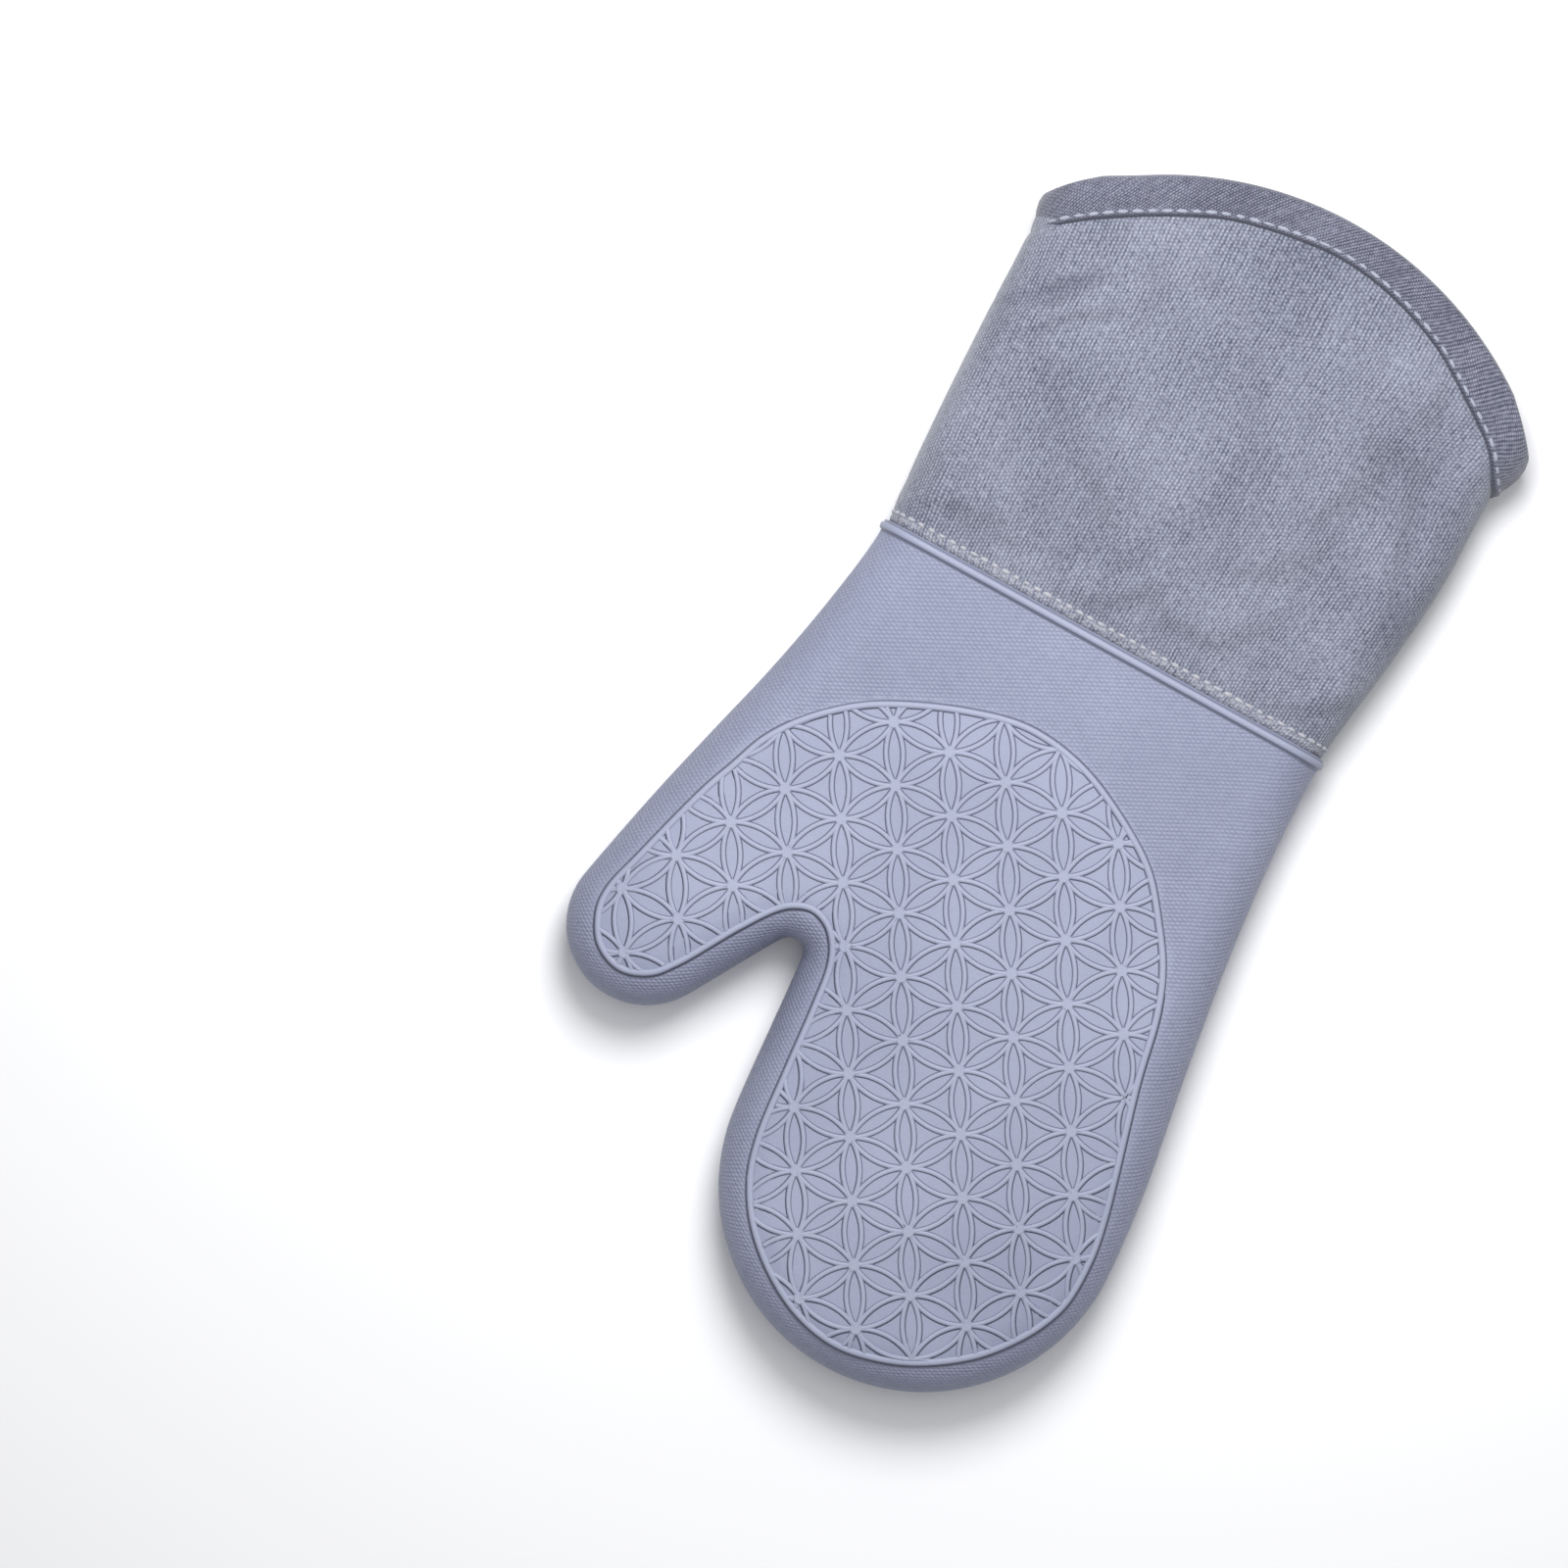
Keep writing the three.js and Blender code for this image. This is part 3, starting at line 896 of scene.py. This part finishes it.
def grip_mesh(tree, surface, up):
    """Rim, ribs and hubs on one face of the glove."""
    rim = smooth_line(RIM, 1.3, closed=True)
    regions = []
    for offset in (0.6, -2.3):
        border = rim + outward_normals(rim, closed=True) * offset
        flat = new_mesh("region", np.column_stack([border, np.zeros(len(border))]), [range(len(border))])
        regions.append(new_object("region", flat))
    # The section's third values are painted shade along the feet of the ribs and the rim.
    loop = RIB_SECTION + [(-x, y, dark) for x, y, dark in RIB_SECTION[::-1]]
    section = edge_loop_object("rib section", [(x / MM, y / MM, 0) for x, y, _ in loop])
    set_values(section.data, "painted_crevice_shade", [dark for _, _, dark in loop])
    start = edge_loop_object("rim line", np.column_stack([rim, np.zeros(len(rim))]))
    size = {"Spacing": LATTICE_SPACING, "Row": LATTICE_ROW, "Rib Width": RIB_WIDTH, "Rib Height": RIB_HEIGHT,
            "Hub Radius": HUB_RADIUS, "Rim Width": RIM_WIDTH, "Rim Height": RIM_HEIGHT}
    centre = (LATTICE_START[0] * MM, (LATTICE_START[1] - 4 * LATTICE_ROW) * MM, 0.0)
    mesh = grow(start, tree, {**{key: value * MM for key, value in size.items()}, "Surface": surface,
                              "Region": regions[0], "Hub Region": regions[1], "Section": section,
                              "Start": centre, "Up": up, "Material": SILICONE_RAISED_PAINTED_LIGHTER})
    for helper in (*regions, section):
        bpy.data.objects.remove(helper)
    return mesh


def make_glove():
    plan = make_plan(glove_outline(1.8), 3.0, 9)

    def settle(x, y):
        return y + tilt(x) * smoothstep(y, 5, 40)

    height = THICKNESS / 2 - RIB_HEIGHT
    top = skin(plan, SILICONE[0], height, settle, swell=lift)
    under = skin(plan, SILICONE[0], height, settle)
    top_inner = skin(plan, SILICONE[1], height - SILICONE[1], settle, swell=lift)
    under_inner = skin(plan, SILICONE[1], height - SILICONE[1], settle)
    count, size = plan["count"], len(top)
    outer = np.vstack([top, flip(under)[count:]])
    inner = np.vstack([top_inner, flip(under_inner)[count:]])
    below = np.concatenate([np.arange(count), size + np.arange(size - count)])
    faces = plan["faces"] + [tuple(below[list(face)][::-1]) for face in plan["faces"]]
    place = surface_place(plan)
    rim = smooth_line(RIM, 1.3, closed=True)
    flat = place[:, :2] / MM
    knurl = np.where(inside(flat, rim), 0, smoothstep(distance_to(flat, rim), 0, 2.5))
    values = {"surface": np.vstack([place, place[count:]]), "knurl": np.concatenate([knurl, knurl[count:]])}
    tree = grip_tree()
    grips = []
    for points, up in ((top, 1), (flip(under), -1)):
        level = points + (0, 0, MIDDLE)
        target = new_object("face", new_mesh("face", level, plan["faces"]))
        grips.append(grip_mesh(tree, target, up))
        bpy.data.objects.remove(target)
    columns = make_columns(70, 9)
    bead = top_bead(columns)
    flange = flange_band(columns)
    pieces = []
    for name, part, pocket in (("glove_hand", 0, False), ("glove_pocket", 1, True)):
        shell = shell_mesh(name, outer, inner, split_faces(outer, faces)[part], values)
        shell.materials.append(SILICONE_BASE)
        extra = [] if pocket else [bead, flange]
        pieces.append(joined(name, [shell, *[seam_half(grip, pocket) for grip in grips], *extra]))
    hand, pocket = pieces
    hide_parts("silicone_palm", "silicone_thumb")
    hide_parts("silicone_fingers")
    bend_thumb(hand)
    bend_pocket(pocket)


def top_bead(columns):
    """The rounded bead along the glove's top edge, and round its sides."""
    centre = BEAD_Y + tilt(column_x(columns, lambda x: BEAD_Y + 0 * x))
    # The third value of each point is painted shade in the grooves along both sides of the bead.
    half = [(1.85, 1.6, 0.3), (1.85, 0.52, 0.3), (1.12, 0.5, 1.0), (1.0, 0.0, 0.35), (0.72, -0.32, 0.12)]
    loop = half + [(0.0, -0.45, 0.12)] + [(-across, depth, dark) for across, depth, dark in half[::-1]]
    rows = [(centre + across, np.full(len(columns), depth)) for across, depth, _ in loop]
    mesh, grid = band_mesh("bead", columns, rows)
    set_values(mesh, "painted_crevice_shade", np.repeat([dark for _, _, dark in loop], grid.shape[1]))
    outward_check(mesh)
    mesh.materials.append(SILICONE_RAISED_PAINTED_LIGHTER)
    return mesh


def flange_band(columns):
    """The thin flange under the cuff that the cuff is sewn to."""
    x = column_x(columns, lambda x: BEAD_Y + 0 * x)
    outside, inside_depth = FLANGE
    loop = [(40.5, 1.4), (42.6, 1.6), (43.0, outside), (52.0, outside), (52.0, inside_depth),
            (40.5, inside_depth)]
    rows = [(place + tilt(x), np.full(len(columns), depth)) for place, depth in loop]
    mesh, _ = band_mesh("flange", columns, rows)
    outward_check(mesh)
    mesh.materials.append(SILICONE_BASE)
    return mesh


def bend_thumb(piece):
    start, end = (((THUMB_CREASE[0] + THUMB_OUTWARD[0] * reach) * MM,
                   (THUMB_CREASE[1] + THUMB_OUTWARD[1] * reach) * MM,
                   THICKNESS * MM) for reach in (-2.5, 26.0))
    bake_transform(piece, "palm", "thumb", start=start, end=end)


def bend_pocket(piece):
    start, end = ((0.03, y * MM, THICKNESS * MM) for y in (SEAM_Y, POCKET_BEND_END))
    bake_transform(piece, "palm", "fingers", start=start, end=end)


# ---------------------------------------------------------------- lining and batting

def quilting(x, y):
    """Puffs between diagonal quilting lines: 0 on a line, up to 1 between lines."""
    pitch = 30.0
    one = np.abs(np.sin(math.pi * (x + y) / pitch / math.sqrt(2)))
    two = np.abs(np.sin(math.pi * (x - y) / pitch / math.sqrt(2)))
    return np.sqrt(one * two)


def make_liners():
    plan = make_plan(mitt_outline(1.9), 3.6, 4)

    def settle(x, y, trim=0.0):
        inset = 2.4 + trim + 5.0 * smoothstep(np.abs(x - MOUTH[0]), 55, 82)
        stretch = (mouth_y(x, inset) - GLOVE_TOP) / (150 - GLOVE_TOP)
        return np.where(y > GLOVE_TOP, GLOVE_TOP + (y - GLOVE_TOP) * stretch, y)

    def settle_batting(x, y):
        return settle(x, y, 4.5 * smoothstep(np.abs(x - MOUTH[0]), 50, 66))

    def puffs(x, y):
        return -0.9 * quilting(x, y)

    def thinner(x, y):
        return -1.4 * smoothstep(y, 34, 44)

    place = surface_place(plan)
    layers = (("lining", LINING_CLOTH, LINING), ("batting", BATTING_FILL, GLOVE_BATTING))
    for kind, material, depths in layers:
        half = THICKNESS / 2
        shape = {"swell": None, "puff": puffs} if kind == "lining" else {"swell": thinner, "puff": None}
        ends = settle if kind == "lining" else settle_batting
        outer = skin(plan, depths[0], half - depths[0], ends, **shape)
        inner = skin(plan, depths[1], half - depths[1], ends, puff=puffs if kind == "lining" else None)
        for side in ("palm", "back"):
            gap = (0, 0, 0.15)
            first, second = (outer + gap, inner + gap)
            faces = plan["faces"]
            if side == "back":
                first, second = flip(first), flip(second)
                faces = reversed_faces(faces)
            for part, names in enumerate((("hand", "thumb"), ("finger",))):
                chosen = split_faces(first, faces)[part]
                name = f"{names[0]}_{kind}_{side}_layer"
                mesh = shell_mesh(name, first, second, chosen, {"surface": place})
                piece = new_object(name, mesh, material)
                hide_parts(*[f"{n}_{kind}_{side}" for n in names])
                (bend_pocket if part else bend_thumb)(piece)


# ---------------------------------------------------------------- the cuff

def fold(x, y, start, end, width, height):
    """A soft ridge from start to end, fading at both."""
    a, b = np.array(start, float), np.array(end, float)
    along = (b - a) / np.linalg.norm(b - a)
    t = (x - a[0]) * along[0] + (y - a[1]) * along[1]
    off = (x - a[0]) * -along[1] + (y - a[1]) * along[0]
    length = np.linalg.norm(b - a)
    beyond = np.clip(np.maximum(-t, t - length), 0, None)
    return height * np.exp(-((off / width) ** 2) - (beyond / (width * 1.6)) ** 2)


PALM_FOLDS = [((-68, 117.5), (-57, 124.7), 2.2, -1.0), ((-56, 125.5), (-47, 135), 2.2, -1.1),
              ((-66, 124), (-55, 134), 3.2, 1.0), ((-60, 116), (-45, 127), 3.6, 0.8),
              ((-58, 66), (-46, 86), 4.5, 1.0), ((-6, 50), (8, 62), 4.5, 0.9),
              ((76, 66), (60, 100), 5.0, 1.2), ((80, 84), (66, 126), 3.6, -1.0),
              ((30, 150), (44, 128), 7.0, 0.9), ((-20, 110), (12, 92), 8.0, 0.9),
              ((-66, 52), (-54, 58), 3.2, 0.8), ((62, 50), (72, 58), 3.5, 0.8),
              ((-40, 92), (-18, 76), 6.0, -0.8), ((24, 70), (48, 84), 7.0, -0.7)]
BACK_FOLDS = [((-60, 60), (-30, 90), 6.0, 0.8), ((70, 58), (40, 84), 6.0, 0.8),
              ((-40, 140), (-10, 116), 6.0, 0.7), ((60, 130), (30, 110), 7.0, -0.6),
              ((0, 56), (6, 80), 7.0, 0.6)]


def cuff_wrinkles(x, y, up):
    """How far the cuff's cloth stands above its plain level."""
    palm = sum(fold(x, y, *one) for one in PALM_FOLDS)
    back = sum(fold(x, y, *one) for one in BACK_FOLDS)
    soft = 0.35 * np.sin(x / 13 + y / 23) * np.sin(y / 17 - 0.7) + 0.3 * np.sin(x / 27 - y / 19 + 1)
    ends = smoothstep(y, CUFF_SEAM, CUFF_SEAM + 9) * smoothstep(binding_y(x) - y, 0, 9)
    swell = 1.3 * np.sin(np.clip((y - CUFF_START) / (binding_y(x) - CUFF_START), 0, 1) * math.pi) ** 0.6
    return (np.where(up > 0, palm, back) + soft) * ends + swell * 0.8


def binding_y(x):
    line = smooth_line(BINDING_EDGE, 2)
    return np.interp(x, line[:, 0], line[:, 1])


def seam_dip(y, x):
    """The cloth is drawn in along its row of stitches and just below the binding."""
    stitched = 0.35 * np.exp(-(((y - CUFF_SEAM - tilt(x)) / 1.1) ** 2))
    return stitched + 0.5 * np.exp(-(((y - binding_y(x) + 0.4) / 1.5) ** 2))


def side_calm(columns):
    """The cloth stays close to its level along the side seams."""
    return np.array([1.0 if side == 0 else 0.1 + 0.9 * math.sin(value) ** 3 for side, value, _ in columns])


def column_turn(columns):
    """How far round the section each column lies, in millimetres, from the left seam over the palm side."""
    corner, flat = EDGE_ROUND * math.pi / 2, 130.0
    total = 2 * corner + flat
    turns = []
    for side, value, up in columns:
        share = value / (math.pi / 2)
        turn = {-1: corner * share, 0: corner + flat * value, 1: total - corner * share}[side]
        turns.append(turn if up > 0 else 2 * total - turn)
    return np.array(turns), 2 * total


def cuff_level(columns, share, inset=2.2):
    """The y of a line round the cuff that lies this share of the way up it."""
    low_x = column_x(columns, lambda x: CUFF_START + tilt(x))
    high_x = column_x(columns, lambda x: mouth_y(x, inset))
    low, high = CUFF_START + tilt(low_x), mouth_y(high_x, inset)
    return low + (high - low) * share


def settle_cuff():
    """Cloth simulation of the slack cuff between its two sewn edges. Returns how far it moved outward,
    with the places round the cuff and the shares of its length that the values belong to."""
    columns = make_columns(56, 6)
    shares = np.linspace(0, 1, 46)
    turns, total = column_turn(columns)
    up = np.array([c[2] for c in columns])
    start, normal = [], []
    for share in shares:
        y = cuff_level(columns, share)
        x = band_points(columns, y, np.zeros(len(columns)))[:, 0]
        depth = CUFF_PANEL[0] - cuff_wrinkles(x, y, up)
        line = band_points(columns, y, depth)
        away = line - band_points(columns, y, depth + 1)
        start.append(line)
        normal.append(away / np.linalg.norm(away, axis=1)[:, None])
    start, normal = np.array(start), np.array(normal)
    height, width = start.shape[:2]
    faces = [(low + (c + 1) % width, low + c, low + width + c, low + width + (c + 1) % width)
             for low in range(0, (height - 1) * width, width) for c in range(width)]
    cloth = new_object("slack cuff", new_mesh("slack cuff", start.reshape(-1, 3), faces))
    pin = cloth.vertex_groups.new(name="sewn")
    for r, strength in ((0, 1.0), (1, 1.0), (2, 0.5), (-4, 0.5), (-3, 1.0), (-2, 1.0), (-1, 1.0)):
        pin.add([r % height * width + c for c in range(width)], strength, "REPLACE")
    modifier = cloth.modifiers.new("cloth", "CLOTH")
    settings = modifier.settings
    settings.quality = 6
    settings.mass = 0.2
    settings.tension_stiffness = settings.compression_stiffness = 18
    settings.shear_stiffness = 6
    settings.bending_stiffness = 0.35
    settings.shrink_min = -CUFF_SLACK
    settings.vertex_group_mass = "sewn"
    settings.use_pressure = True
    settings.uniform_pressure_force = 0.6
    settings.effector_weights.gravity = 0
    modifier.collision_settings.use_collision = False
    scene = bpy.context.scene
    for step in range(1, 25):
        scene.frame_set(step)
    ready = cloth.evaluated_get(bpy.context.evaluated_depsgraph_get())
    settled = np.array([v.co for v in ready.data.vertices]).reshape(start.shape) / MM
    bpy.data.objects.remove(cloth)
    scene.frame_set(1)
    moved = ((settled - start) * normal).sum(axis=2)
    return turns, total, shares, np.clip(moved, -1.0, 2.4)


def settled_rise(settled, columns, share):
    """The simulated rise of the cloth along one line round the cuff."""
    turns, total, shares, moved = settled
    order = np.argsort(turns)
    at = share * (len(shares) - 1)
    low = min(int(at), len(shares) - 2)
    line = moved[low] * (1 - at + low) + moved[low + 1] * (at - low)
    return np.interp(column_turn(columns)[0], turns[order], line[order], period=total)


def make_cuff():
    settled = settle_cuff()
    columns = make_columns(90, 10)
    half = len(columns) // 2 + 1
    panels = (("cuff_palm_cloth", columns[:half], "cuff_palm_panel"),
              ("cuff_back_cloth", [columns[0]] + columns[:half - 1:-1] + [columns[half - 1]],
               "cuff_back_panel"))
    rows = 74
    for name, chosen, replaced in panels:
        up = 1 if "palm" in name else -1
        chosen = [(side, value, up) for side, value, _ in chosen]
        outer = []
        inner = []
        for share in np.linspace(0, 1, rows):
            y = cuff_level(chosen, share)
            x = band_points(chosen, y, np.zeros(len(chosen)))[:, 0]
            held = smoothstep(binding_y(x) - y, -1, 9) * smoothstep(y, CUFF_SEAM, CUFF_SEAM + 7)
            rise = cuff_wrinkles(x, y, up) + settled_rise(settled, chosen, share) * held
            depth = CUFF_PANEL[0] - rise * side_calm(chosen) + seam_dip(y, x)
            depth = depth if up > 0 else np.maximum(depth, 0.15)
            outer.append((y, depth))
            inner.append((y, depth + CUFF_PANEL[1] - CUFF_PANEL[0]))
        mesh, grid = band_mesh(name, chosen, outer + inner[::-1], closed=False)
        outward_check(mesh)
        around = np.cumsum(np.linalg.norm(np.diff(grid[30], axis=0, prepend=grid[30][:1]), axis=1))
        place = np.zeros((grid.shape[0], grid.shape[1], 3))
        place[..., 0] = around
        place[..., 1] = grid[..., 1] - CUFF_START - tilt(grid[..., 0])
        set_values(mesh, "surface", place.reshape(-1, 3) * MM)
        # Painted shade in the creases of the cloth's sunken folds.
        creases = [one for one in (PALM_FOLDS if up > 0 else BACK_FOLDS) if one[3] < 0 and one[2] < 4]
        dark = sum((-fold(grid[..., 0], grid[..., 1], *one) for one in creases), 0 * grid[..., 0])
        set_values(mesh, "painted_crevice_shade", np.clip(dark.ravel() * 0.28, 0, 0.35))
        piece = new_object(name, mesh, CUFF_CLOTH)
        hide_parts(replaced)
        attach(piece, "palm")


def binding_profile():
    """The folded tape's section, as (share from its inner edge to the mouth, depth), in one closed loop."""
    outside = [(-0.045, 2.0), (-0.035, 1.6), (0.012, 1.3), (0.03, 0.95), (0.08, 0.75), (0.13, 0.95),
               (0.17, 1.0), (0.24, 0.7), (0.36, 0.45), (0.5, 0.3), (0.7, 0.35), (0.84, 0.7)]
    turn = [(0.84 + 0.16 * math.sin(a), 4.7 - 4.0 * math.cos(a)) for a in np.linspace(0, math.pi, 11)[1:]]
    inside_face = [(0.6, 8.9), (0.35, 8.9), (0.12, 8.5), (0.0, 8.3)]
    outer = outside + turn + inside_face
    lining = [(0.0, 7.6), (0.12, 7.7), (0.35, 7.9), (0.6, 7.9)]
    fold_in = [(0.84 + 0.1 * math.sin(a), 4.7 + 3.1 * math.cos(a)) for a in np.linspace(0, math.pi, 9)]
    under = [(0.7, 1.3), (0.5, 1.3), (0.3, 1.5), (0.17, 1.8), (0.1, 1.8), (0.0, 2.1)]
    return outer + lining + fold_in + under


def tape_tuck(columns, share):
    """How far the tape is drawn in at the left end of the mouth, this share of the way across it."""
    left_end = np.array([math.cos(value) ** 2 if side < 0 else 0.0 for side, value, _ in columns])
    return left_end * (3.2 - 2.7 * share)


def make_binding():
    columns = make_columns(120, 12)
    low_x = column_x(columns, binding_y)
    high_x = column_x(columns, mouth_y)
    low, high = binding_y(low_x), mouth_y(high_x)
    side = np.array([abs(c[0]) for c in columns])
    angle = np.array([c[1] for c in columns])
    ends = side * np.cos(np.where(side > 0, angle, 0)) ** 2
    bulge = ends * 0.9
    ripple = 0.12 * np.sin(np.arange(len(columns)) * 0.9) + 0.1 * np.sin(np.arange(len(columns)) * 0.37)
    rows = []
    for share, depth in binding_profile():
        swollen = (bulge + ripple) * math.sin(min(share, 1.0) * math.pi) * (depth < 4)
        tucked = tape_tuck(columns, min(share, 1.0)) * (depth < 4)
        covering = 2.2 * ends * smoothstep(depth, 4.5, 8)
        rows.append((low + (high - low) * share, depth - swollen + tucked + covering))
    mesh, grid = band_mesh("binding_tape", columns, rows)
    outward_check(mesh)
    # Painted shadow along the tape's inner edge, in its first three rows.
    set_values(mesh, "painted_crevice_shade", np.repeat([1.0 if i < 3 else 0.0 for i in range(len(rows))], len(columns)))
    ring = grid[4]
    around = np.cumsum(np.linalg.norm(np.diff(ring, axis=0, prepend=ring[:1]), axis=1))
    across = np.concatenate([[0], np.cumsum(np.linalg.norm(np.diff(grid[:, 60], axis=0), axis=1))])
    place = np.zeros((grid.shape[0], grid.shape[1], 3))
    diagonal = math.sqrt(0.5)
    place[..., 0] = (around[None] - across[:, None]) * diagonal
    place[..., 1] = (around[None] + across[:, None]) * diagonal
    set_values(mesh, "surface", place.reshape(-1, 3) * MM)
    piece = new_object("binding_tape", mesh, BINDING_CLOTH)
    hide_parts("mouth_binding")
    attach(piece, "palm")


# ---------------------------------------------------------------- stitches

def stitch_row(name, columns, y, depth, tree, values, replaced):
    line = band_points(columns, y, depth)
    below = band_points(columns, y, depth + 1)
    start = edge_loop_object(name, line)
    set_values(start.data, "outward", line - below)
    mesh = grow(start, tree, values)
    mesh.name = name
    for attribute in [a for a in mesh.attributes if a.name == "outward"]:
        mesh.attributes.remove(attribute)
    piece = new_object(name, mesh)
    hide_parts(replaced)
    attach(piece, "palm")


def make_stitches():
    tree = stitch_tree()
    columns = make_columns(200, 14)
    x = column_x(columns, lambda x: CUFF_SEAM + tilt(x))
    y = CUFF_SEAM + tilt(x)
    up = np.array([c[2] for c in columns])
    depth = CUFF_PANEL[0] - cuff_wrinkles(x, y, up) * side_calm(columns) + seam_dip(y, x) - 0.05
    stitch_row("cuff_stitching", columns, y, depth, tree, {
        "Pitch": CUFF_STITCH_PITCH * MM, "Length": 2.6 * MM, "Width": 1.35 * MM, "Seed": 3,
        "Material": CUFF_THREAD}, "cuff_thread")
    x = column_x(columns, binding_y)
    y = binding_y(x) + BINDING_STITCH_INSET
    stitch_row("binding_stitching", columns, y, 0.8 + tape_tuck(columns, 0.12), tree, {
        "Pitch": BINDING_STITCH_PITCH * MM, "Length": 3.3 * MM, "Width": 1.1 * MM, "Seed": 5,
        "Material": BINDING_THREAD}, "binding_thread")


# ---------------------------------------------------------------- everything

make_camera()
make_studio()
make_glove()
make_liners()
make_cuff()
make_binding()
make_stitches()

bpy.context.view_layer.update()
